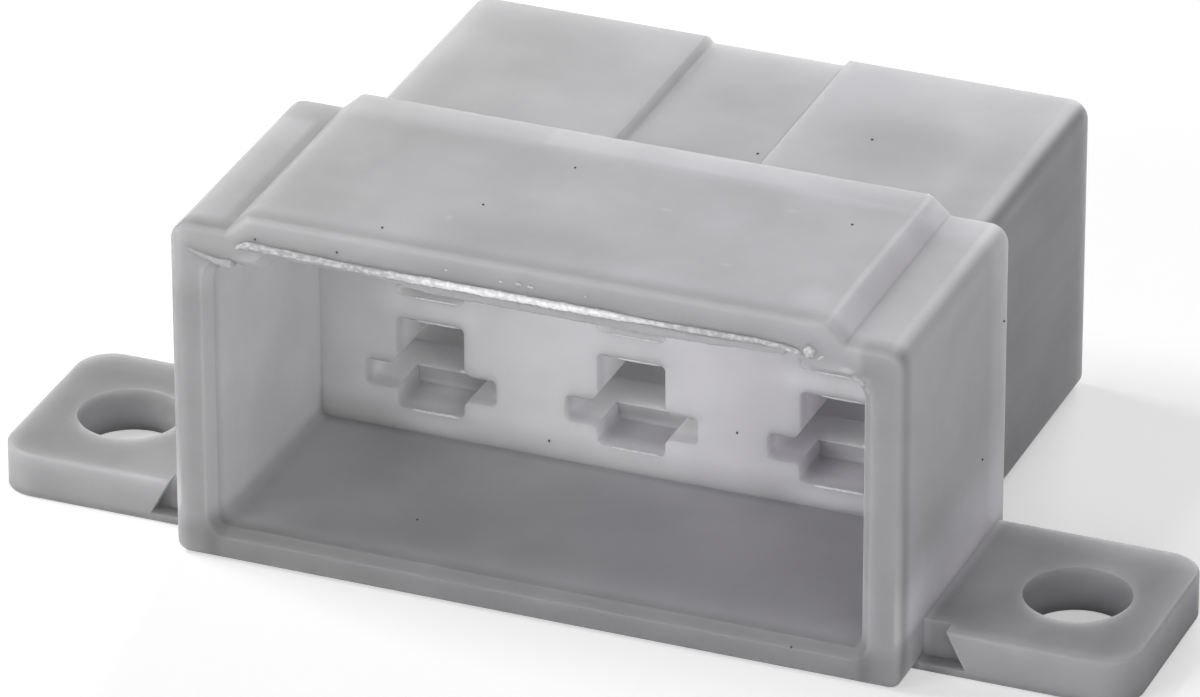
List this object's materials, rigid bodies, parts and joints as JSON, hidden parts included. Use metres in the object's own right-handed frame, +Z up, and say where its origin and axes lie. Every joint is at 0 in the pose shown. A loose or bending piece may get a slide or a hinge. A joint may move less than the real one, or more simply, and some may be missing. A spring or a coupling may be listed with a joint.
{
  "type": "wire to board connector housing",
  "caption": "One-piece moulded connector housing with a stepped open shroud, cross-shaped terminal windows, rear wire entries and a screw ear on each side.",
  "frame": {"origin": "midway between the two screw holes of the ears, on the housing's underside", "axes": "+X across the housing from ear to ear, to the right when looking into the mouth; +Z up, away from the mounting face; the mouth faces -Y and the wires leave towards +Y"},
  "size_m": [0.0556, 0.0308, 0.0178],
  "materials": {
    "natural_nylon": "milky natural nylon with a satin skin, slightly translucent"
  },
  "bodies": {
    "root": {"housing": "natural_nylon"}
  },
  "joints": []
}
